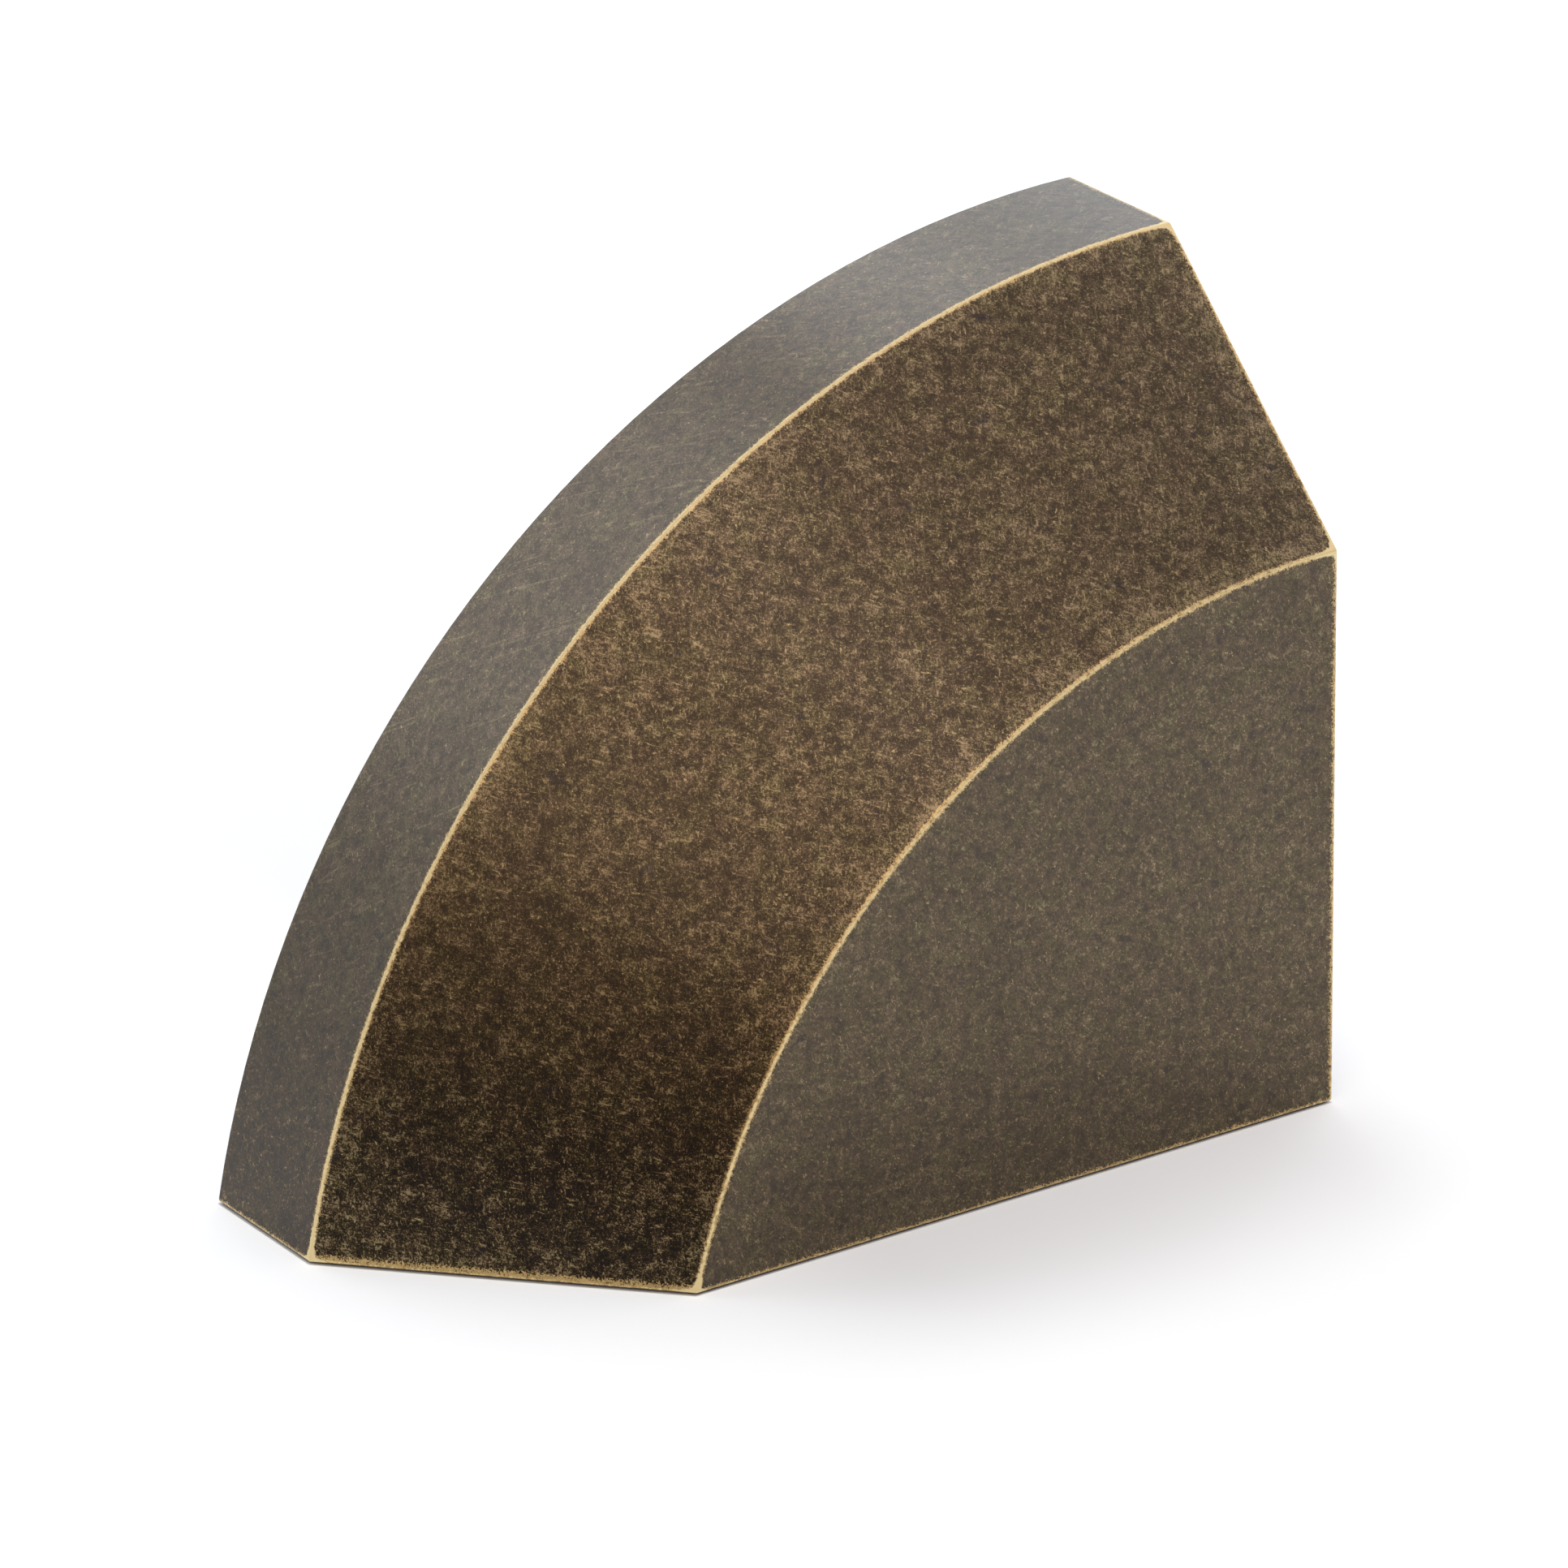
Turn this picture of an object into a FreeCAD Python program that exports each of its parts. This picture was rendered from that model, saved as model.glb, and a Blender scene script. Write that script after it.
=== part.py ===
import FreeCAD, Part
import os
import Sketcher
from FreeCAD import Placement, Rotation, Vector

# Free-standing door stop: half of an arch in cast brass, cored from below and weighted with iron.
# X runs from the toe of the arch to the flat end face that meets the door, Y from the bevelled
# front to the flat back, Z up from the floor.

os.makedirs("parts", exist_ok=True)
doc = FreeCAD.newDocument("door_stop")

# Driving dimensions, in millimetres
SIZES = [
    ("casting_length", 100.0, "toe to end face, along the base"),
    ("casting_height", 82.6, "base to the top of the end face"),
    ("casting_depth", 43.5, "front face to back face"),
    ("rim_depth", 16.6, "cylindrical rim behind the bevel"),
    ("bevel_width", 25.2, "radial width of the conical bevel"),
    ("edge_radius", 0.3, "rounding of every outer edge"),
    ("wall", 5.5, "wall of the casting round the core space"),
    ("rebate_wall", 3.5, "wall of the casting round the plate"),
    ("plate_thickness", 3.0, "steel base plate"),
    ("pad_thickness", 2.0, "rubber base pad"),
    ("pad_standoff", 0.2, "how far the pad stands below the casting"),
    ("plate_gap", 0.15, "clearance round the plate and the pad"),
    ("packing_thickness", 1.5, "rubber sheet under the ballast"),
    ("ballast_gap", 1.0, "clearance between ballast and casting"),
    ("ballast_end_gap", 3.0, "clearance at the end wall, for the buffer screw"),
    ("boss_radius", 4.5, "screw bosses in the core space"),
    ("boss_end_setback", 9.5, "end face to the first pair of bosses"),
    ("boss_bevel_setback", 64.0, "end face to the boss behind the bevel"),
    ("boss_toe_setback", 84.0, "end face to the boss in the toe"),
    ("boss_side_inset", 9.5, "front and back faces to the bosses"),
    ("thread_radius", 2.0, "M4 screw thread, outer radius"),
    ("thread_gap", 0.05, "clearance between the plain thread cylinders"),
    ("clearance_radius", 2.25, "through hole for an M4 screw"),
    ("flat_head_radius", 4.0, "countersunk head"),
    ("flat_head_land", 0.2, "straight rim of the countersunk head"),
    ("sink_gap", 0.1, "clearance round the countersunk head"),
    ("tip_chamfer", 0.5, "chamfered end of each screw"),
    ("base_screw_length", 10.0, "countersunk screw, head included"),
    ("tapping_allowance", 2.0, "tapped hole beyond the screw's end"),
    ("socket_flat", 2.5, "hexagon socket across flats"),
    ("socket_depth", 1.3, "hexagon socket"),
    ("buffer_radius", 10.0, "rubber buffer"),
    ("buffer_thickness", 6.0, "rubber buffer"),
    ("buffer_recess", 2.0, "seat of the buffer in the end face"),
    ("buffer_centre", 41.0, "floor to the buffer's axis"),
    ("buffer_gap", 0.2, "clearance round the buffer in its seat"),
    ("buffer_web", 2.0, "rubber left under the washer"),
    ("buffer_chamfer", 1.0, "chamfered outer rim of the buffer"),
    ("washer_radius", 4.5, "washer in the buffer"),
    ("washer_thickness", 0.8, "washer in the buffer"),
    ("washer_gap", 0.3, "clearance round the washer"),
    ("button_head_radius", 3.8, "button-head screw"),
    ("button_head_height", 2.2, "button-head screw"),
    ("button_head_flat", 2.2, "flat top of the button head, radius"),
    ("button_head_side", 0.5, "straight side of the button head"),
    ("buffer_screw_length", 8.0, "button-head screw, under its head"),
]

sheet = doc.addObject("Spreadsheet::Sheet", "sheet")
for row, (alias, value, note) in enumerate(SIZES, start=1):
    sheet.set(f"A{row}", note)
    sheet.set(f"B{row}", str(value))
    sheet.setAlias(f"B{row}", alias)
doc.recompute()

# Sizes that follow from the driving ones. The rim and the bevel share one arc axis, which lies in the
# plane of the end face, so the rim runs level into it.
DERIVED = [
    ("arc_drop", "(sheet.casting_length^2 - sheet.casting_height^2) / (2 * sheet.casting_height)"),
    ("arc_radius", "sheet.casting_height + form.arc_drop"),
    ("axis_z", "sheet.pad_standoff - form.arc_drop"),
    ("bevel_depth", "sheet.casting_depth - sheet.rim_depth"),
    ("bevel_slant", "sqrt(sheet.bevel_width^2 + form.bevel_depth^2)"),
    ("front_length", "sqrt((form.arc_radius - sheet.bevel_width)^2 - form.arc_drop^2)"),
    ("plate_top", "sheet.pad_thickness + sheet.plate_thickness"),
    ("packing_top", "form.plate_top + sheet.packing_thickness"),
    ("plate_inset", "sheet.rebate_wall + sheet.plate_gap"),
]
form = doc.addObject("App::VarSet", "form")
for name, expression in DERIVED:
    form.addProperty("App::PropertyFloat", name)
    form.setExpression(name, expression)
doc.recompute()


def number(expression):
    """Present value of an expression, as a plain number."""
    value = form.evalExpression(expression)
    return float(getattr(value, "Value", value))


def place(piece, along="0", across="0", up="0"):
    """Stands a piece in the frame of the whole stop, from the front foot of the end face."""
    piece.setExpression("Placement.Base.x", f"sheet.casting_length / 2 + {along}")
    piece.setExpression("Placement.Base.y", f"{across} - sheet.casting_depth / 2")
    piece.setExpression("Placement.Base.z", up)


def new_sketch(body, role, name, along="0", up="0", out="0"):
    """A sketch on one of the body's own planes, its origin moved in and out of that plane."""
    sketch = body.newObject("Sketcher::SketchObject", name)
    plane = next(feature for feature in body.Origin.OriginFeatures if feature.Role == role)
    sketch.AttachmentSupport = [(plane, "")]
    sketch.MapMode = "FlatFace"
    for direction, expression in (("x", along), ("y", up), ("z", out)):
        if expression != "0":
            sketch.setExpression(f"AttachmentOffset.Base.{direction}", expression)
    return sketch


def pin_point(sketch, edge, end, name, across, up):
    """Holds one end of an edge at two distances from the sketch's origin."""
    for kind, expression in (("DistanceX", across), ("DistanceY", up)):
        index = sketch.addConstraint(Sketcher.Constraint(kind, -1, 1, edge, end, number(expression)))
        label = f"{name}_{kind[-1].lower()}"
        sketch.renameConstraint(index, label)
        sketch.setExpression(f"Constraints.{label}", expression)


def draw_polygon(sketch, corners):
    """A closed outline of straight edges through corners given as pairs of expressions."""
    points = [Vector(number(across), number(up), 0) for across, up in corners]
    for index, point in enumerate(points):
        sketch.addGeometry(Part.LineSegment(point, points[(index + 1) % len(points)]))
    for index, (across, up) in enumerate(corners):
        previous = (index - 1) % len(points)
        sketch.addConstraint(Sketcher.Constraint("Coincident", previous, 2, index, 1))
        pin_point(sketch, index, 1, f"corner_{index}", across, up)


def draw_circle(sketch, index, across, up, radius):
    """A circle held by its centre and its radius."""
    sketch.addGeometry(Part.Circle(Vector(number(across), number(up), 0), Vector(0, 0, 1), number(radius)))
    pin_point(sketch, index, 3, f"centre_{index}", across, up)
    constraint = sketch.addConstraint(Sketcher.Constraint("Radius", index, number(radius)))
    sketch.renameConstraint(constraint, f"radius_{index}")
    sketch.setExpression(f"Constraints.radius_{index}", radius)


def pad(body, sketch, name, length, reverse=False):
    """Extrusion of a sketch."""
    feature = body.newObject("PartDesign::Pad", name)
    feature.Profile = sketch
    feature.setExpression("Length", length)
    feature.Reversed = reverse
    doc.recompute()


LEAST_CUT = 0.001


def cut(body, kind, sketch, name, **settings):
    """Pocket or groove, checked to have removed material."""
    before = body.Shape.Volume
    feature = body.newObject(f"PartDesign::{kind}", name)
    feature.Profile = sketch
    for setting, value in settings.items():
        if isinstance(value, str) and setting in ("Length", "TaperAngle"):
            feature.setExpression(setting, value)
        else:
            setattr(feature, setting, value)
    doc.recompute()
    if not body.Shape.Volume < before - LEAST_CUT:
        raise RuntimeError(f"{name} removed nothing")


def arch_form(name, inset, front, end, floor):
    """Half arch with a conical bevel, its curved faces drawn in square to themselves by one inset."""
    body = doc.addObject("PartDesign::Body", name)
    radius = f"form.arc_radius - {inset}"
    base = f"{floor} - form.axis_z"
    toe = f"-sqrt(({radius})^2 - ({base})^2)"
    crown = f"sqrt(({radius})^2 - ({end})^2)"
    outline = new_sketch(body, "XZ_Plane", f"{name}_outline", up="form.axis_z", out=f"-({front})")
    corners = [
        Vector(number(f"-({end})"), number(base), 0),
        Vector(number(f"-({end})"), number(crown), 0),
        Vector(number(toe), number(base), 0),
    ]
    outline.addGeometry(Part.LineSegment(corners[0], corners[1]))
    middle = (corners[1] + corners[2]).normalize() * number(radius)
    outline.addGeometry(Part.Arc(corners[1], middle, corners[2]))
    outline.addGeometry(Part.LineSegment(corners[2], corners[0]))
    outline.addConstraint(Sketcher.Constraint("Coincident", 1, 3, -1, 1))
    curve = outline.Geometry[1]
    crown_end, toe_end = (2, 1) if curve.StartPoint.x < curve.EndPoint.x else (1, 2)
    outline.addConstraint(Sketcher.Constraint("Coincident", 0, 2, 1, crown_end))
    outline.addConstraint(Sketcher.Constraint("Coincident", 1, toe_end, 2, 1))
    outline.addConstraint(Sketcher.Constraint("Coincident", 2, 2, 0, 1))
    outline.addConstraint(Sketcher.Constraint("Vertical", 0))
    outline.addConstraint(Sketcher.Constraint("Horizontal", 2))
    pin_point(outline, 0, 1, "foot", f"-({end})", base)
    index = outline.addConstraint(Sketcher.Constraint("Radius", 1, number(radius)))
    outline.renameConstraint(index, "rim_radius")
    outline.setExpression("Constraints.rim_radius", radius)
    pad(body, outline, f"{name}_arch", f"sheet.casting_depth - {front} - ({inset})", reverse=True)

    # The bevel is turned about the arc axis. Its section runs a little past both faces that it meets.
    slope = "sheet.bevel_width / form.bevel_depth"
    start = f"form.arc_radius - sheet.bevel_width - {inset} * form.bevel_slant / form.bevel_depth"
    overrun = "form.bevel_depth / 3"
    near = f"-({overrun})"
    far = f"form.bevel_depth + {overrun}"
    low = f"{start} - ({slope}) * {overrun}"
    high = f"{start} + ({slope}) * ({far})"
    section = new_sketch(body, "YZ_Plane", f"{name}_bevel_section", up="form.axis_z")
    draw_polygon(section, [(near, low), (far, high), (near, high)])
    cut(body, "Groove", section, f"{name}_bevel", ReferenceAxis=(section, ["H_Axis"]), Angle=360.0)
    return body


# Screw bosses: one pair beside the end face, one boss behind the bevel and one in the toe
FRONT_ROW = "sheet.boss_side_inset"
BACK_ROW = "sheet.casting_depth - sheet.boss_side_inset"
BOSSES = [
    ("-sheet.boss_end_setback", FRONT_ROW),
    ("-sheet.boss_end_setback", BACK_ROW),
    ("-sheet.boss_bevel_setback", FRONT_ROW),
    ("-sheet.boss_toe_setback", BACK_ROW),
]


def boss_circles(body, name, radius, level):
    """A sketch with one circle of the same radius at every screw."""
    sketch = new_sketch(body, "XY_Plane", name, out=level)
    for index, (across, along) in enumerate(BOSSES):
        draw_circle(sketch, index, across, along, radius)
    return sketch


def clear_bosses(body, name, radius):
    """Takes the bosses out of a piece that fills the core space."""
    circles = boss_circles(body, f"{name}_boss_circles", radius, "0")
    cut(body, "Pocket", circles, f"{name}_boss_clearance", Type="ThroughAll", Reversed=True)


def base_outline(body, name, inset, level):
    """The five-sided outline of the base, drawn in by an inset on every side."""
    turn = "atan(form.bevel_depth / (sheet.casting_length - form.front_length))"
    corners = [
        (f"-({inset})", inset),
        (f"-({inset})", f"sheet.casting_depth - ({inset})"),
        (f"({inset}) - sheet.casting_length", f"sheet.casting_depth - ({inset})"),
        (f"({inset}) - sheet.casting_length", f"form.bevel_depth + ({inset}) * tan((90deg - {turn}) / 2)"),
        (f"({inset}) * tan({turn} / 2) - form.front_length", inset),
    ]
    sketch = new_sketch(body, "XY_Plane", name, out=level)
    draw_polygon(sketch, corners)
    return sketch


def on_end_face(body, name, radius, out="0"):
    """A sketch of one circle round the buffer's axis, on the end face or behind it."""
    sketch = new_sketch(body, "YZ_Plane", name, out=out)
    draw_circle(sketch, 0, "sheet.casting_depth / 2", "sheet.buffer_centre", radius)
    return sketch


# Casting: the outer form with all its edges eased, then the core space, the rebate and the threads
casting = arch_form("casting", "0", "0", "0", "sheet.pad_standoff")
arch = casting.Tip
easing = casting.newObject("PartDesign::Fillet", "casting_eased_edges")
easing.Base = (arch, [])
easing.UseAllEdges = True
easing.setExpression("Radius", "sheet.edge_radius")
doc.recompute()

core = arch_form("core_space", "sheet.wall", "sheet.wall", "sheet.wall", "form.plate_top")
clear_bosses(core, "core_space", "sheet.boss_radius")
coring = casting.newObject("PartDesign::Boolean", "casting_coring")
coring.Type = "Cut"
coring.setObjects([core])
doc.recompute()

rebate = base_outline(casting, "rebate_outline", "sheet.rebate_wall", "form.plate_top")
cut(casting, "Pocket", rebate, "rebate", Length="form.plate_top")

tapped = "sheet.thread_radius + sheet.thread_gap"
tapping_depth = "sheet.base_screw_length - sheet.plate_thickness + sheet.tapping_allowance"
base_threads = boss_circles(casting, "base_thread_circles", tapped, "form.plate_top")
cut(casting, "Pocket", base_threads, "base_threads", Length=tapping_depth, Reversed=True)

seat = on_end_face(casting, "buffer_seat_circle", "sheet.buffer_radius + sheet.buffer_gap")
cut(casting, "Pocket", seat, "buffer_seat", Length="sheet.buffer_recess")
buffer_thread = on_end_face(casting, "buffer_thread_circle", tapped)
cut(casting, "Pocket", buffer_thread, "buffer_thread", Length="sheet.wall + sheet.ballast_end_gap")
place(casting)

# Ballast: the same form as the core space, smaller by its clearances, so that it drops in from below
ballast = arch_form(
    "ballast_block",
    "(sheet.wall + sheet.ballast_gap)",
    "(sheet.wall + sheet.ballast_gap)",
    "sheet.wall + sheet.ballast_end_gap",
    "form.packing_top",
)
clear_bosses(ballast, "ballast_block", "sheet.boss_radius + sheet.ballast_gap")
place(ballast)


def flat_layer(name, inset, level, thickness):
    """A flat piece of the base outline, from one level up by its thickness."""
    body = doc.addObject("PartDesign::Body", name)
    outline = base_outline(body, f"{name}_outline", inset, level)
    pad(body, outline, f"{name}_sheet", thickness)
    place(body)
    return body


packing_inset = "(sheet.wall + 2 * sheet.ballast_gap)"
packing = flat_layer("ballast_packing", packing_inset, "form.plate_top", "sheet.packing_thickness")
clear_bosses(packing, "ballast_packing", "sheet.boss_radius + sheet.ballast_gap")

plate = flat_layer("base_plate", "form.plate_inset", "sheet.pad_thickness", "sheet.plate_thickness")
sink = "(sheet.flat_head_radius + sheet.sink_gap)"
sink_land = "(sheet.pad_thickness + sheet.flat_head_land)"
for index, (across, along) in enumerate(BOSSES, start=1):
    section = new_sketch(plate, "XZ_Plane", f"plate_hole_{index}_section", along=across, out=f"-({along})")
    draw_polygon(section, [
        ("0", "sheet.pad_thickness"),
        (sink, "sheet.pad_thickness"),
        (sink, sink_land),
        ("sheet.clearance_radius", f"{sink_land} + {sink} - sheet.clearance_radius"),
        ("sheet.clearance_radius", "form.plate_top"),
        ("0", "form.plate_top"),
    ])
    cut(plate, "Groove", section, f"plate_hole_{index}", ReferenceAxis=(section, ["V_Axis"]), Angle=360.0)

base_pad = flat_layer("base_pad", "form.plate_inset", "0", "sheet.pad_thickness")


def turned(name, profile):
    """A piece turned about its own upright axis from corners given as radius and height."""
    body = doc.addObject("PartDesign::Body", name)
    section = new_sketch(body, "XZ_Plane", f"{name}_section")
    draw_polygon(section, profile)
    feature = body.newObject("PartDesign::Revolution", f"{name}_turned")
    feature.Profile = section
    feature.ReferenceAxis = (section, ["V_Axis"])
    feature.Angle = 360.0
    doc.recompute()
    return body


SOCKET_TURNS = range(0, 360, 60)


def cut_socket(body, level):
    """Hexagon socket in a screw's head."""
    corner = "(sheet.socket_flat / sqrt(3))"
    hexagon = [(f"{corner} * cos({turn}deg)", f"{corner} * sin({turn}deg)") for turn in SOCKET_TURNS]
    sketch = new_sketch(body, "XY_Plane", f"{body.Name}_socket_outline", out=level)
    draw_polygon(sketch, hexagon)
    cut(body, "Pocket", sketch, f"{body.Name}_socket", Length="sheet.socket_depth")


# Base screws, heads down, flush with the underside of the plate
DOWN = Rotation(Vector(1, 0, 0), 180)
screws = []
for index, (across, along) in enumerate(BOSSES, start=1):
    screw = turned(f"base_screw_{index}", [
        ("0", "0"),
        ("sheet.flat_head_radius", "0"),
        ("sheet.flat_head_radius", "-sheet.flat_head_land"),
        ("sheet.thread_radius", "sheet.thread_radius - sheet.flat_head_radius - sheet.flat_head_land"),
        ("sheet.thread_radius", "sheet.tip_chamfer - sheet.base_screw_length"),
        ("sheet.thread_radius - sheet.tip_chamfer", "-sheet.base_screw_length"),
        ("0", "-sheet.base_screw_length"),
    ])
    cut_socket(screw, "0")
    screw.Placement = Placement(Vector(), DOWN)
    place(screw, across, along, "sheet.pad_thickness")
    screws.append(screw)
base_screws = doc.addObject("Part::Compound", "base_screws")
base_screws.Links = screws

# Buffer on the end face: rubber disc, washer let into it and the screw that holds both
OUTWARD = Rotation(Vector(0, 1, 0), 90)
washer_seat = "(sheet.washer_radius + sheet.washer_gap)"


def stand_on_end_face(piece, out):
    """Turns a piece to point out of the end face and sets it that far beyond the face."""
    piece.Placement = Placement(Vector(), OUTWARD)
    place(piece, out, "sheet.casting_depth / 2", "sheet.buffer_centre")


buffer = turned("buffer", [
    ("sheet.clearance_radius", "0"),
    ("sheet.buffer_radius", "0"),
    ("sheet.buffer_radius", "sheet.buffer_thickness - sheet.buffer_chamfer"),
    ("sheet.buffer_radius - sheet.buffer_chamfer", "sheet.buffer_thickness"),
    (washer_seat, "sheet.buffer_thickness"),
    (washer_seat, "sheet.buffer_web"),
    ("sheet.clearance_radius", "sheet.buffer_web"),
])
stand_on_end_face(buffer, "-sheet.buffer_recess")

washer = turned("buffer_washer", [
    ("sheet.clearance_radius", "0"),
    ("sheet.washer_radius", "0"),
    ("sheet.washer_radius", "sheet.washer_thickness"),
    ("sheet.clearance_radius", "sheet.washer_thickness"),
])
stand_on_end_face(washer, "(sheet.buffer_web - sheet.buffer_recess)")

# The button head's crown follows a quarter of an ellipse, in a few flat steps.
CROWN_TURNS = (0, 30, 60, 90)
crown_width = "(sheet.button_head_radius - sheet.button_head_flat)"
crown_rise = "(sheet.button_head_height - sheet.button_head_side)"
crown = [
    (
        f"sheet.button_head_flat + {crown_width} * cos({turn}deg)",
        f"sheet.button_head_side + {crown_rise} * sin({turn}deg)",
    )
    for turn in CROWN_TURNS
]
buffer_screw = turned("buffer_screw", [
    ("0", "-sheet.buffer_screw_length"),
    ("sheet.thread_radius - sheet.tip_chamfer", "-sheet.buffer_screw_length"),
    ("sheet.thread_radius", "sheet.tip_chamfer - sheet.buffer_screw_length"),
    ("sheet.thread_radius", "0"),
    ("sheet.button_head_radius", "0"),
    *crown,
    ("0", "sheet.button_head_height"),
])
cut_socket(buffer_screw, "sheet.button_head_height")
stand_on_end_face(buffer_screw, "(sheet.buffer_web - sheet.buffer_recess + sheet.washer_thickness)")

# Check every feature, then write each piece
doc.recompute()
for item in doc.Objects:
    if "Invalid" in item.State or "Error" in item.State:
        raise RuntimeError(f"{item.Name} failed: {item.State}")

PIECES = {
    casting: 1, ballast: 1, packing: 1, plate: 1, base_screws: len(BOSSES),
    base_pad: 1, buffer: 1, washer: 1, buffer_screw: 1,
}
for piece, solids in PIECES.items():
    shape = piece.Shape
    if shape.isNull() or not shape.isValid() or len(shape.Solids) != solids:
        raise RuntimeError(f"{piece.Label} isn't {solids} valid solid(s)")
for piece in PIECES:
    piece.Shape.exportStep(f"parts/{piece.Label}.step")
    print(piece.Label, round(piece.Shape.Volume / 1000, 2), "cm3")
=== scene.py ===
import math
import bpy
from mathutils import Matrix, Vector


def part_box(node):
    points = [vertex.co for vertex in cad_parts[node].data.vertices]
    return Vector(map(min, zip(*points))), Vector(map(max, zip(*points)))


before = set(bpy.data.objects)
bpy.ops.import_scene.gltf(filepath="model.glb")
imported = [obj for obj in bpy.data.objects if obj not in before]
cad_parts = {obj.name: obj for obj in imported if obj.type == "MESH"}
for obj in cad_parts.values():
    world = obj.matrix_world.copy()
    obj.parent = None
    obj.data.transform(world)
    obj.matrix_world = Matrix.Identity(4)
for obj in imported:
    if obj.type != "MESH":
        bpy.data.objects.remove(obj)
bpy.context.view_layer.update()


# Camera. The block is seen from the front left and a little above, through a long lens, so that its
# edges stay almost parallel. It aims to the left of the end face's front foot and above it.
VIEW_AZIMUTH = math.radians(-33.816)
VIEW_ELEVATION = math.radians(22.835)
VIEW_ROLL = math.radians(-0.776)
VIEW_DISTANCE = 0.9537
LENS_MM = 225.7
AIM_RIGHT = -0.05323
AIM_UP = 0.03071
low_corner, high_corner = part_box("casting")
front_foot = Vector((high_corner.x, low_corner.y, low_corner.z))
back = Vector((
    math.sin(VIEW_AZIMUTH) * math.cos(VIEW_ELEVATION),
    -math.cos(VIEW_AZIMUTH) * math.cos(VIEW_ELEVATION),
    math.sin(VIEW_ELEVATION),
))
level = Vector((0, 0, 1)).cross(back).normalized()
plumb = back.cross(level)
right = math.cos(VIEW_ROLL) * level + math.sin(VIEW_ROLL) * plumb
up = math.cos(VIEW_ROLL) * plumb - math.sin(VIEW_ROLL) * level
aim = front_foot + AIM_RIGHT * right + AIM_UP * up
camera = bpy.data.objects.new("camera", bpy.data.cameras.new("camera"))
camera.data.lens = LENS_MM
stand = Matrix.Translation(aim + VIEW_DISTANCE * back)
camera.matrix_world = stand @ Matrix((right, up, back)).transposed().to_4x4()
bpy.context.scene.collection.objects.link(camera)
bpy.context.scene.camera = camera
bpy.context.scene.view_settings.view_transform = "Standard"


# Casting. One block of brass, cast and machined flat, with a conical bevel turned round its arch.
# It is darkened to an antique brown, brushed back to a gold speckle and worn bright on its edges.
MM_IN_METRE = 1000.0
# Places of the Mix node's colour sockets, which share their names with its other sockets
MIX_SHARE = 0
MIX_FROM = 6
MIX_TO = 7
MIX_RESULT = 2


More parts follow.
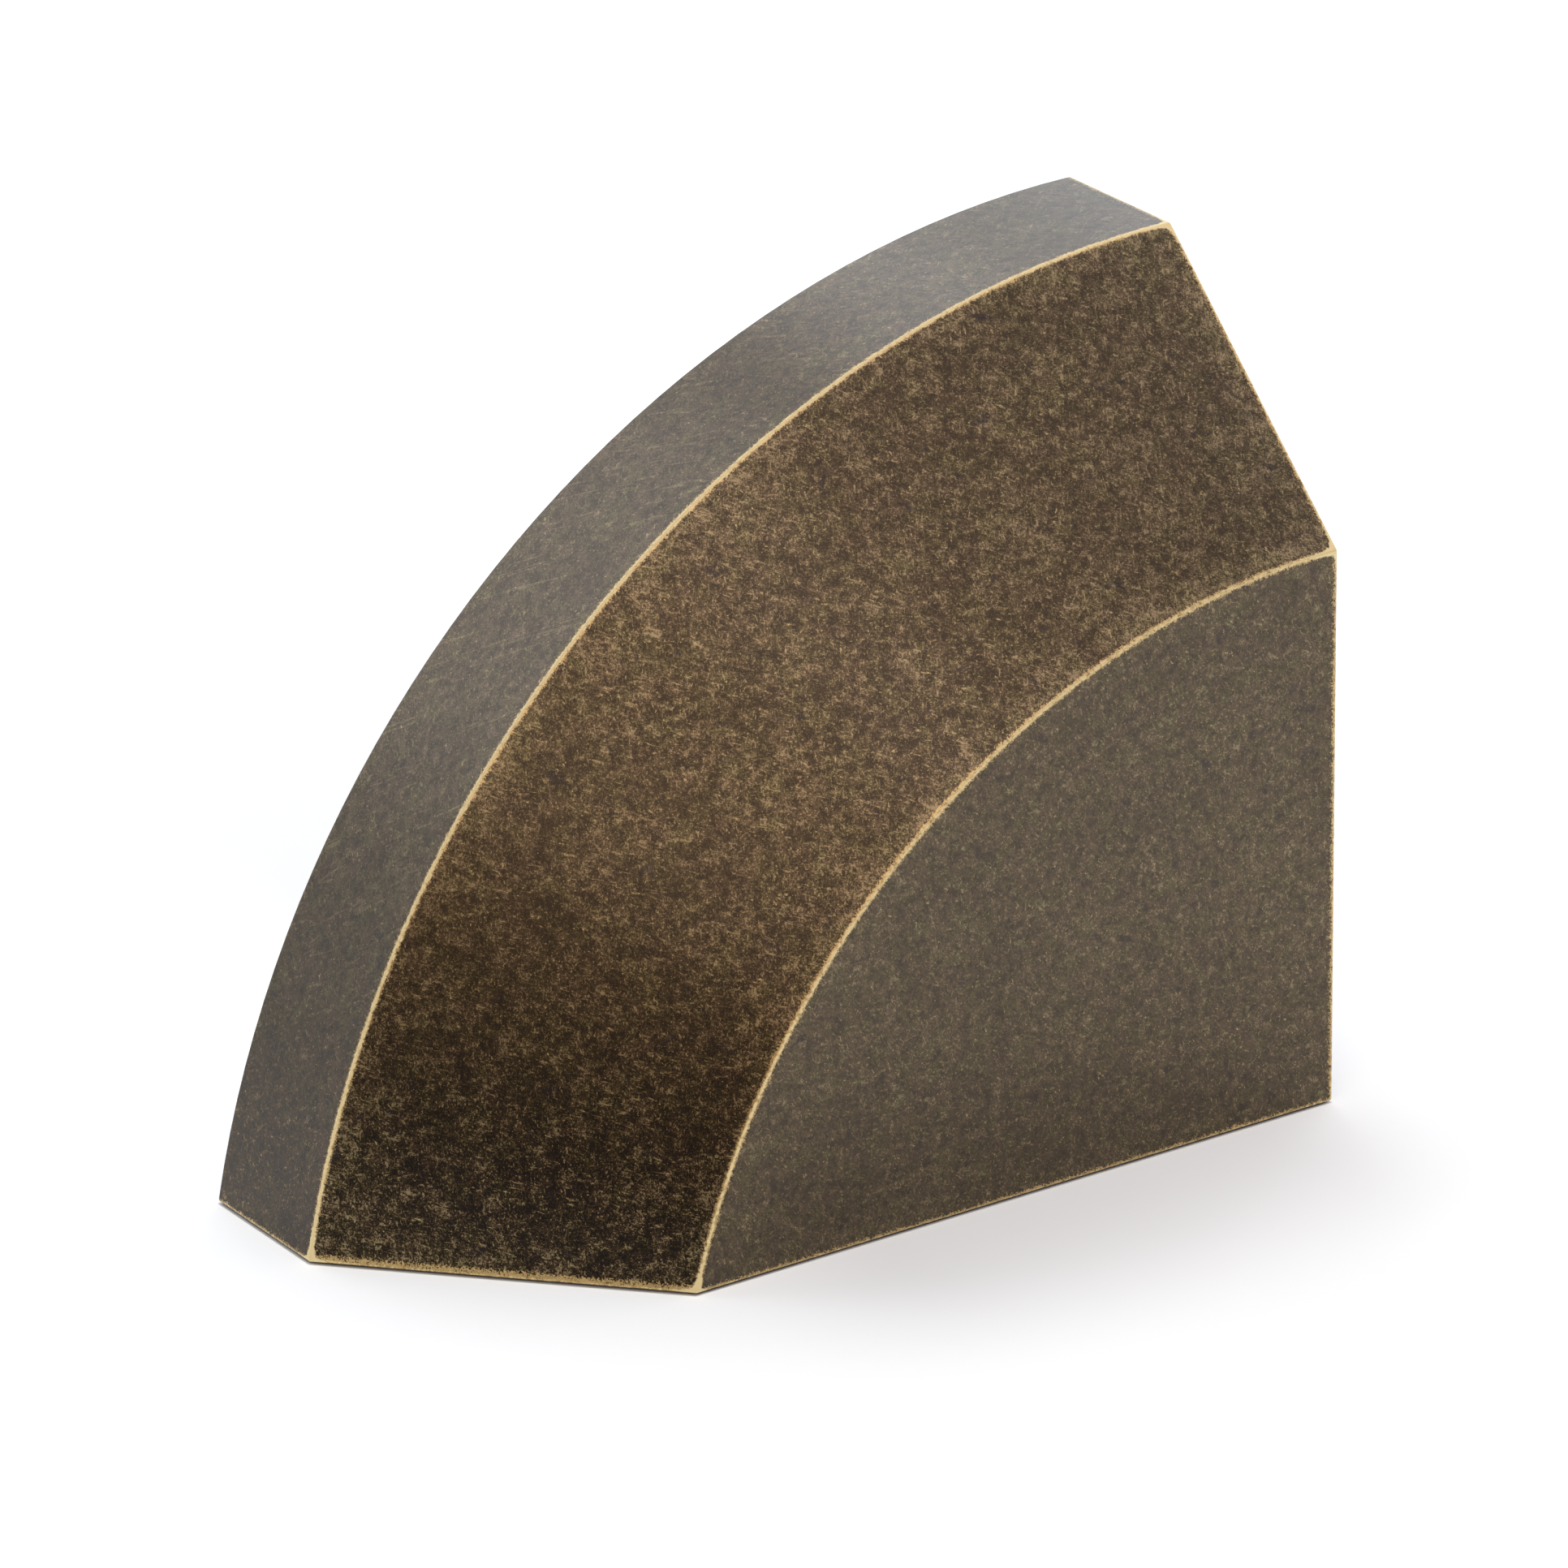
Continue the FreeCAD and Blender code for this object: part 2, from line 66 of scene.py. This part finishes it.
class Field:
    """A socket in a node tree, with which values, colours and places are worked out by plain sums."""

    def __init__(self, tree, socket):
        self.tree = tree
        self.socket = socket

    def node(self, kind, settings=None, inputs=None, output=0):
        """Adds a node, with its settings first and then its sockets, and returns one of its outputs."""
        made = self.tree.nodes.new(kind)
        for name, value in (settings or {}).items():
            setattr(made, name, value)
        for name, value in (inputs or {}).items():
            if isinstance(value, Field):
                self.tree.links.new(value.socket, made.inputs[name])
            else:
                made.inputs[name].default_value = value
        return Field(self.tree, made.outputs[output])

    def work(self, operation, *values):
        """A Math node on values in their order, or a Vector Math node where one is a vector."""
        vector = any(isinstance(value, Field) and value.socket.type == "VECTOR" for value in values)
        kind = "ShaderNodeVectorMath" if vector else "ShaderNodeMath"
        if vector:
            values = [value if isinstance(value, (Field, tuple)) else (value,) * 3 for value in values]
        return self.node(kind, {"operation": operation}, dict(enumerate(values)))

    def __add__(self, other):
        return self.work("ADD", self, other)

    def __radd__(self, other):
        return self.work("ADD", other, self)

    def __sub__(self, other):
        return self.work("SUBTRACT", self, other)

    def __rsub__(self, other):
        return self.work("SUBTRACT", other, self)

    def __mul__(self, other):
        return self.work("MULTIPLY", self, other)

    def __rmul__(self, other):
        return self.work("MULTIPLY", other, self)

    def __truediv__(self, other):
        return self.work("DIVIDE", self, other)

    def __pow__(self, other):
        return self.work("POWER", self, other)

    def least(self, other):
        return self.work("MINIMUM", self, other)

    def most(self, other):
        return self.work("MAXIMUM", self, other)

    def fall(self, reach):
        """1 at zero, dying away over a reach in the field's own unit."""
        return self.work("EXPONENT", self * (-1.0 / reach))

    def ramp(self, low, high, start=0.0, end=1.0):
        """Smooth step between two values of this field."""
        return self.node("ShaderNodeMapRange", {"interpolation_type": "SMOOTHSTEP"}, {
            "Value": self, "From Min": low, "From Max": high, "To Min": start, "To Max": end,
        })

    def mix(self, colour, other):
        """Colour that goes from one to the other as this field goes from 0 to 1."""
        ends = [(*end, 1.0) if isinstance(end, tuple) else end for end in (colour, other)]
        mixed = {MIX_SHARE: self, MIX_FROM: ends[0], MIX_TO: ends[1]}
        return self.node("ShaderNodeMix", {"data_type": "RGBA"}, mixed, MIX_RESULT)

    def darken(self, colour, rest):
        """A colour of which this field leaves only a share of each part, so that its pattern stays."""
        settings = {"data_type": "RGBA", "blend_type": "MULTIPLY"}
        mixed = {MIX_SHARE: self, MIX_FROM: colour, MIX_TO: (*rest, 1.0)}
        return self.node("ShaderNodeMix", settings, mixed, MIX_RESULT)

    def noise(self, grain, detail=2.0, roughness=0.5, distortion=0.0):
        """Noise whose grain is this size in millimetres, at the places that this field gives."""
        return self.node("ShaderNodeTexNoise", None, {
            "Vector": self, "Scale": MM_IN_METRE / grain, "Detail": detail, "Roughness": roughness,
            "Distortion": distortion,
        })

    def streaks(self, turns, stretch, grain, detail=1.0):
        """Noise drawn out along one direction, which is given by two turns in degrees."""
        angles = (0.0, math.radians(turns[0]), math.radians(turns[1]))
        laid = self.node("ShaderNodeMapping", {"vector_type": "TEXTURE"}, {
            "Vector": self, "Rotation": angles, "Scale": (stretch, 1.0, 1.0),
        })
        return laid.noise(grain, detail, roughness=0.55, distortion=0.8)

    def bump(self, strength, height):
        """Surface normal of this field as a relief of a height in millimetres."""
        return self.node("ShaderNodeBump", None, {
            "Height": self, "Strength": strength, "Distance": height / MM_IN_METRE,
        })


def new_material(name):
    """An empty node material with its shader, and the place on the object in metres as a field."""
    material = bpy.data.materials.new(name)
    material.use_nodes = True
    tree = material.node_tree
    coordinates = tree.nodes.new("ShaderNodeTexCoord")
    return material, tree.nodes["Principled BSDF"], Field(tree, coordinates.outputs["Object"])


def feed(shader, **sockets):
    """Links fields to a shader's sockets and sets plain values on them."""
    for name, value in sockets.items():
        socket = shader.inputs[name.replace("_", " ")]
        if isinstance(value, Field):
            value.tree.links.new(value.socket, socket)
        else:
            socket.default_value = value


def finish(node, material):
    """Gives a piece of the frame its finish."""
    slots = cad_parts[node].data.materials
    slots.clear()
    slots.append(material)


def split(place):
    """The three coordinates of a place, in metres."""
    apart = place.node("ShaderNodeSeparateXYZ", None, {"Vector": place}).socket.node
    return [Field(place.tree, apart.outputs[axis]) for axis in "XYZ"]


# The casting's own measures in millimetres: the arch and the cone share an axis, which lies in the
# plane of the end face and this far below the base
BEVEL_WIDTH = 25.2
RIM_DEPTH = 16.6
ARC_DROP = 19.23
bevel_depth = MM_IN_METRE * (high_corner.y - low_corner.y) - RIM_DEPTH
bevel_slant = math.hypot(BEVEL_WIDTH, bevel_depth)
arc_radius = MM_IN_METRE * (high_corner.z - low_corner.z) + ARC_DROP


def upright_depths(x, y, above_axis):
    """Depth in millimetres under the end, front, back, rim and bevel, below zero outside the block."""
    from_end = (high_corner.x - x) * MM_IN_METRE
    from_front = (y - low_corner.y) * MM_IN_METRE
    from_back = (high_corner.y - y) * MM_IN_METRE
    radius = (from_end * from_end + above_axis * above_axis) ** 0.5
    cone = arc_radius - BEVEL_WIDTH + from_front * (BEVEL_WIDTH / bevel_depth)
    under_rim = arc_radius - radius
    under_bevel = (cone - radius) * (bevel_depth / bevel_slant)
    return from_end, from_front, from_back, under_rim, under_bevel


brass, shader, place = new_material("aged_brass")
x, y, z = split(place)
from_base = (z - low_corner.z) * MM_IN_METRE
from_end, from_front, from_back, under_rim, under_bevel = upright_depths(x, y, from_base + ARC_DROP)

# At an edge the two least depths are both near zero, and at a corner the three least. Depths under
# the base and the end count for less, because their sharp edges wear more than the blunt ones of the
# bevel, and depths under the back for more, because little rubs on it.
BASE_COUNT = 0.6
END_COUNT = 0.5
BACK_COUNT = 1.5
CORNER_REACH = 0.55
BEVEL_CORNER_REACH = 1.5
first = from_front.least(under_bevel)
second = from_front.most(under_bevel)
third = second.most(under_rim)
second = second.least(first.most(under_rim))
first = first.least(under_rim)
for depth in (from_base * BASE_COUNT, from_end * END_COUNT, from_back * BACK_COUNT):
    third = third.least(second.most(depth))
    second = second.least(first.most(depth))
    first = first.least(depth)
edge = first + second
corner = third.most(0.0).fall(CORNER_REACH) * under_bevel.most(0.0).fall(BEVEL_CORNER_REACH)

# Speckle: short strokes brushed every way, with a fine grit between them, gathered in small clouds and
# wide drifts. It is thickest near the edges, and fainter on the rim and the front than on the bevel.
# Strokes and scratches are given by two turns in degrees, a stretch and a grain in millimetres.
FACE_SKIN = 0.6
STROKES = [((35, 20), 4.0, 0.24), ((-40, 65), 4.0, 0.22), ((10, -50), 4.5, 0.26), ((70, 10), 3.5, 0.20)]
SCRATCHES = [((15, 38), 60.0, 0.5), ((-25, -62), 50.0, 0.5)]
GRIT_GRAIN = 0.14
CLOUD_GRAIN = 1.2
DRIFT_GRAIN = 6.0
STROKE_MIDDLE = 0.60
NOISE_MIDDLE = 0.5
STROKE_SHARE = 11.0
GRIT_SHARE = 6.5
CLOUD_SHARE = 5.0
DRIFT_SHARE = 1.8
SCRATCH_SHARE = 0.8
HAZE_SHARE = 0.7
HAZE_FROM = 0.1
HAZE_TO = 2.6
HAZE_OFF_BEVEL = 0.4
RIM_CALM = 0.5
FRONT_CALM = 0.42
FRONT_LIFT = 0.3
SCRATCH_RANGE = (0.69, 0.74)
FLECK_RANGE = (-1.1, 2.3)
GLEAM_RANGE = (0.9, 2.4)
on_bevel = under_bevel.ramp(FACE_SKIN, 0.0)
on_front = from_front.ramp(FACE_SKIN, 0.0)
on_rim = under_rim.ramp(FACE_SKIN, 0.0)
strokes = place.streaks(*STROKES[0])
for stroke in STROKES[1:]:
    strokes = strokes.most(place.streaks(*stroke))
grit = place.noise(GRIT_GRAIN, detail=2, roughness=0.7)
cloud = place.noise(CLOUD_GRAIN, detail=3, roughness=0.6)
drift = place.noise(DRIFT_GRAIN, detail=2)
near_edge = edge.ramp(HAZE_FROM, HAZE_TO, HAZE_SHARE, 0.0)
haze = near_edge * (on_bevel * (1.0 - HAZE_OFF_BEVEL) + HAZE_OFF_BEVEL)
speckle = (
    (strokes - STROKE_MIDDLE) * STROKE_SHARE
    + (grit - NOISE_MIDDLE) * GRIT_SHARE
    + (cloud - NOISE_MIDDLE) * CLOUD_SHARE
    + (drift - NOISE_MIDDLE) * DRIFT_SHARE
    + haze
)
speckle = speckle * (1.0 - on_rim * RIM_CALM - on_front * FRONT_CALM) + on_front * FRONT_LIFT
scratches = [place.streaks(*scratch, detail=0.0).ramp(*SCRATCH_RANGE) for scratch in SCRATCHES]
speckle = speckle + scratches[0].most(scratches[1]) * SCRATCH_SHARE
fleck = speckle.ramp(*FLECK_RANGE)
gleam = speckle.ramp(*GLEAM_RANGE)

# Painted shade: the colour is darker and the coat thinner towards the foot of the bevel, of the rim and
# of the front, in place of the dark surroundings that these low parts reflect. The heights are in
# millimetres over the base.
FOOT_TOP = 44.0
FOOT_FULL = 6.0
TOE_TOP = 34.0
TOE_FULL = 4.0
TOE_SHARE = 0.8
SKIRT_TOP = 26.0
SKIRT_SHARE = 0.2
foot = from_base.ramp(FOOT_TOP, FOOT_FULL) * on_bevel
toe = from_base.ramp(TOE_TOP, TOE_FULL) * on_rim
skirt = from_base.ramp(SKIRT_TOP, 0.0) * on_front
painted_shade = foot.most(toe * TOE_SHARE).most(skirt * SKIRT_SHARE)

BLACK_PATINA = (0.035, 0.019, 0.005)
BROWN_PATINA = (0.050, 0.029, 0.008)
FOOT_SHADE_GROUND_LEFT = (0.20, 0.15, 0.12)
GREEN_GOLD = (0.160, 0.129, 0.056)
RED_GOLD = (0.163, 0.116, 0.062)
FOOT_SHADE_GOLD_LEFT = (0.55, 0.46, 0.38)
BRIGHT_GOLD = (0.30, 0.235, 0.128)
PLUM_STAIN = (0.016, 0.010, 0.012)
FRONT_FLOOR_REFLECTION = (0.088, 0.067, 0.056)
GLEAM_SHARE = 0.75
PLUM_SHARE = 0.6
FLOOR_REFLECTION_SHARE = 0.25
TONE_GRAIN = 2.4
PLUM_GRAIN = 1.9
ground = cloud.ramp(0.36, 0.60).mix(BLACK_PATINA, BROWN_PATINA)
# Painted shade: the ground and the gold are darkened towards the feet
ground = painted_shade.darken(ground, FOOT_SHADE_GROUND_LEFT)
tone = place.noise(TONE_GRAIN, detail=2)
gold = tone.ramp(0.42, 0.58).mix(GREEN_GOLD, RED_GOLD)
gold = painted_shade.darken(gold, FOOT_SHADE_GOLD_LEFT)
plum = place.noise(PLUM_GRAIN, detail=2, distortion=0.5).ramp(0.64, 0.74)
colour = fleck.mix(ground, gold)
colour = (gleam * GLEAM_SHARE).mix(colour, BRIGHT_GOLD)
colour = (plum * PLUM_SHARE).mix(colour, PLUM_STAIN)
# Painted reflection: the front face is mixed towards a paler grey, in place of the pale floor it
# reflects
colour = (on_front * FLOOR_REFLECTION_SHARE).mix(colour, FRONT_FLOOR_REFLECTION)

# Wear: a bright ragged line on each edge, and a scuffed band beside it, widest above the base on the
# bevel. The line is a little narrower on the edges of the front.
SCUFF_REACH = 0.3
BASE_SCUFF_REACH = 0.35
BASE_SCUFF_TOP = 1.4
BASE_SCUFF_FULL = 0.6
SCUFF_STROKE_SHARE = 5.0
SCUFF_GRIT_SHARE = 4.0
SCUFF_SHARE = 0.8
RAGGED_GRAIN = 0.4
RAGGED_SHARE = 0.40
FRONT_NARROWING = 0.04
CORNER_SHARE = 0.5
LINE_OUTSIDE = 0.20
LINE_INSIDE = 0.08
RUBBED_BRASS = (0.64, 0.44, 0.18)
BARE_BRASS = (1.0, 0.83, 0.45)
reach = from_base.ramp(BASE_SCUFF_TOP, BASE_SCUFF_FULL) * on_bevel * BASE_SCUFF_REACH + SCUFF_REACH
scuff = (
    (strokes - STROKE_MIDDLE) * SCUFF_STROKE_SHARE
    + (grit - NOISE_MIDDLE) * SCUFF_GRIT_SHARE
    + (edge / reach).ramp(0.2, 1.6, 1.3, -0.7)
)
scuff = scuff.ramp(0.1, 1.2)
ragged = place.noise(RAGGED_GRAIN, detail=3, roughness=0.65, distortion=0.4)
line = edge + (ragged - NOISE_MIDDLE) * RAGGED_SHARE + on_front * FRONT_NARROWING - corner * CORNER_SHARE
worn = line.ramp(LINE_OUTSIDE, LINE_INSIDE)
colour = (scuff * SCUFF_SHARE).mix(colour, RUBBED_BRASS)
colour = worn.mix(colour, BARE_BRASS)

# Painted shade: the lowest part of the rounded base edge is painted dark and dull, as the contact shadow
# that runs in a thin dark line along the floor
CONTACT_SHADE_TOP = 0.045
CONTACT_SHADE_FULL = 0.005
CONTACT_SHADE_COLOUR = (0.020, 0.014, 0.008)
painted_contact_shade = from_base.ramp(CONTACT_SHADE_TOP, CONTACT_SHADE_FULL)
colour = painted_contact_shade.mix(colour, CONTACT_SHADE_COLOUR)
feed(
    shader,
    Base_Color=colour,
    Metallic=(0.75 + fleck * 0.2 - worn * 0.35) * (1.0 - painted_contact_shade),
    Roughness=0.34 - fleck * 0.06 + worn * 0.32 + painted_contact_shade * 0.3,
    Normal=speckle.bump(0.2, 0.01),
    Specular_IOR_Level=0.37,
    # Painted shade: the coat is thinner towards the feet
    Coat_Weight=(0.44 + on_rim * 0.19 - painted_shade * 0.33) * (1.0 - painted_contact_shade),
    Coat_Roughness=0.25,
)
finish("casting", brass)


# Ballast block: rough grey iron, sand-cast to fit the casting's inside with a little play, and rusting
# in patches. It gives the stop its weight.
BARE_IRON = (0.10, 0.10, 0.105)
RUST = (0.20, 0.10, 0.05)
SAND_GRAIN = 1.4
RUST_GRAIN = 8.0
iron, shader, place = new_material("cast_iron")
sand = place.noise(SAND_GRAIN, detail=6, roughness=0.7)
rust = place.noise(RUST_GRAIN, detail=5, roughness=0.65)
feed(
    shader,
    Base_Color=rust.ramp(0.52, 0.7).mix(BARE_IRON, RUST),
    Metallic=0.6,
    Roughness=sand * 0.3 + 0.5,
    Normal=sand.bump(0.6, 0.3),
)
finish("ballast_block", iron)


# Ballast packing: a thin sheet of brown-black rubber, cut to the ballast's shape. It lies between the
# block and the plate and keeps them from rattling.
PACKING_TONE = (0.05, 0.045, 0.04)
PACKING_GRAIN = 1.1


def rubber(name, tone, grain):
    """Matt rubber with a moulded grain and a little dust in patches twelve times as wide."""
    material, shader, place = new_material(name)
    skin = place.noise(grain, detail=4, roughness=0.6)
    dust = place.noise(grain * 12, detail=3)
    dusty = tuple(1.6 * part + 0.01 for part in tone)
    feed(
        shader,
        Base_Color=dust.ramp(0.3, 0.7).mix(tone, dusty),
        Roughness=skin * 0.2 + 0.62,
        Normal=skin.bump(0.4, 0.1),
    )
    return material


finish("ballast_packing", rubber("packing_rubber", PACKING_TONE, PACKING_GRAIN))


# Base plate: mild steel, blanked to the base's outline, zinc-plated and countersunk for four screws.
# It closes the casting from below and carries the ballast.
BLUE_ZINC = (0.46, 0.47, 0.50)
STRAW_ZINC = (0.58, 0.57, 0.53)


def plated_steel(name, grain, roughness):
    """Zinc-plated steel with fine scratches and a clouded sheen whose clouds are eight times as wide."""
    material, shader, place = new_material(name)
    bloom = place.noise(grain * 8, detail=4)
    scratch = place.noise(grain, detail=5, roughness=0.7, distortion=1.5)
    feed(
        shader,
        Base_Color=bloom.ramp(0.35, 0.65).mix(BLUE_ZINC, STRAW_ZINC),
        Metallic=1.0,
        Roughness=scratch * 0.2 + roughness,
        Normal=scratch.bump(0.2, 0.05),
    )
    return material


finish("base_plate", plated_steel("plate_steel", grain=0.7, roughness=0.34))


# Base screws: four countersunk M4 screws with hexagon sockets, zinc-plated and a little glossier than
# the plate. They hold it to the four bosses inside the casting.
screw_steel = plated_steel("screw_steel", grain=0.35, roughness=0.24)
finish("base_screws", screw_steel)


# Base pad: a sheet of black rubber, glued under the plate and standing slightly proud of the brass,
# so that the stop grips and doesn't scratch the floor
PAD_TONE = (0.022, 0.022, 0.023)
PAD_GRAIN = 0.55
black_rubber = rubber("black_rubber", PAD_TONE, PAD_GRAIN)
finish("base_pad", black_rubber)


# Buffer: a moulded rubber disc in its seat on the end face, where the door meets the stop. It is of
# the same rubber as the pad.
finish("buffer", black_rubber)


# Buffer washer: a plain plated washer, let into the disc, which spreads the screw's pull so that the
# rubber isn't torn
finish("buffer_washer", screw_steel)


# Buffer screw: an M4 button-head screw with a hexagon socket, which holds disc and washer to the end
# wall and lies below the disc's face, so that the door never touches steel
finish("buffer_screw", screw_steel)


# Studio: a pale floor without an edge, a plain dim sky and large soft lamps all round, the warm ones
# over the camera's left and the cooler ones behind. The floor glows where it is seen, in place of the
# light of a whole room. That glow is cut under the block, as painted shade in the gap beneath it, and
# is lowered in front of the block and behind it, as a painted shadow of the block.
FLOOR_HALF = 6.0
FLOOR_TONE = (0.90, 0.94, 0.97, 1.0)
FLOOR_GLOW = 0.42
GLOW_TONE = (0.97, 1.0, 1.0)
NO_GLOW = (0.0, 0.0, 0.0)
UNDERSIDE_BLUR = 0.05
PAINTED_SHADOW_BEFORE_FRONT = (-32.0, -4.0)
PAINTED_SHADOW_AT_END = (-14.0, 12.0)
PAINTED_SHADOW_AT_RIM = (78.0, 52.0)
PAINTED_SHADOW_SHARE = 0.40
SKY_STRENGTH = 0.20
LAMP_DISTANCE = 1.5
corners = [
    (-FLOOR_HALF, -FLOOR_HALF, 0),
    (FLOOR_HALF, -FLOOR_HALF, 0),
    (FLOOR_HALF, FLOOR_HALF, 0),
    (-FLOOR_HALF, FLOOR_HALF, 0),
]
floor_mesh = bpy.data.meshes.new("floor")
floor_mesh.from_pydata(corners, [], [(0, 1, 2, 3)])
floor = bpy.data.objects.new("floor", floor_mesh)
bpy.context.scene.collection.objects.link(floor)
paper, shader, place = new_material("paper")
path = place.node("ShaderNodeLightPath").socket.node
seen, mirrored, passed = [
    Field(place.tree, path.outputs[ray])
    for ray in ("Is Camera Ray", "Is Glossy Ray", "Is Transmission Ray")
]
x, y = split(place)[:2]
from_end, from_front, from_back, under_rim, under_bevel = upright_depths(x, y, ARC_DROP)
covered = from_end.least(from_front).least(from_back).least(under_rim).least(under_bevel)
# Painted shadow of the block on the floor, in front of it and behind it, which lowers the glow
painted_shadow = from_front.ramp(*PAINTED_SHADOW_BEFORE_FRONT)
painted_shadow = painted_shadow * from_end.ramp(*PAINTED_SHADOW_AT_END) * from_end.ramp(*PAINTED_SHADOW_AT_RIM)
# The glow is cut where the block covers the floor: painted shade in the gap under it
glow = seen.most(mirrored).most(passed) * covered.ramp(UNDERSIDE_BLUR, -UNDERSIDE_BLUR)
glow = glow * (1.0 - painted_shadow * PAINTED_SHADOW_SHARE)
feed(
    shader,
    Base_Color=FLOOR_TONE,
    Roughness=1.0,
    Specular_IOR_Level=0.0,
    Emission_Color=glow.mix(NO_GLOW, GLOW_TONE),
    Emission_Strength=FLOOR_GLOW,
)
floor.data.materials.append(paper)

world = bpy.data.worlds.new("sky")
bpy.context.scene.world = world
world.use_nodes = True
world.node_tree.nodes["Background"].inputs["Color"].default_value = (1.0, 1.0, 1.0, 1.0)
world.node_tree.nodes["Background"].inputs["Strength"].default_value = SKY_STRENGTH


def soft_light(name, azimuth, elevation, size, power, colour):
    """Square lamp of a size in metres and a power in watts, which faces the block from a direction."""
    lamp = bpy.data.lights.new(name, "AREA")
    lamp.size = size
    lamp.energy = power
    lamp.color = colour
    light = bpy.data.objects.new(name, lamp)
    turn = math.radians(azimuth)
    rise = math.radians(elevation)
    out = Vector((math.sin(turn) * math.cos(rise), -math.cos(turn) * math.cos(rise), math.sin(rise)))
    light.location = out * LAMP_DISTANCE
    light.rotation_euler = out.to_track_quat("Z", "Y").to_euler()
    bpy.context.scene.collection.objects.link(light)


soft_light("low_left", -52, 22, 0.8, 0.9, (1.0, 0.70, 0.50))
soft_light("front_left", -42, 45, 0.9, 3.0, (1.0, 0.83, 0.73))
soft_light("high_front", 0, 64, 1.1, 3.85, (1.0, 0.87, 0.86))
soft_light("right", 90, 40, 1.6, 7.7, (1.0, 0.91, 0.92))
soft_light("back", -174, 42, 1.5, 5.8, (0.90, 0.92, 1.0))
soft_light("back_left", -150, 26, 1.4, 4.6, (0.88, 0.92, 1.0))
soft_light("back_right", 142, 22, 1.2, 5.2, (0.88, 0.93, 1.0))
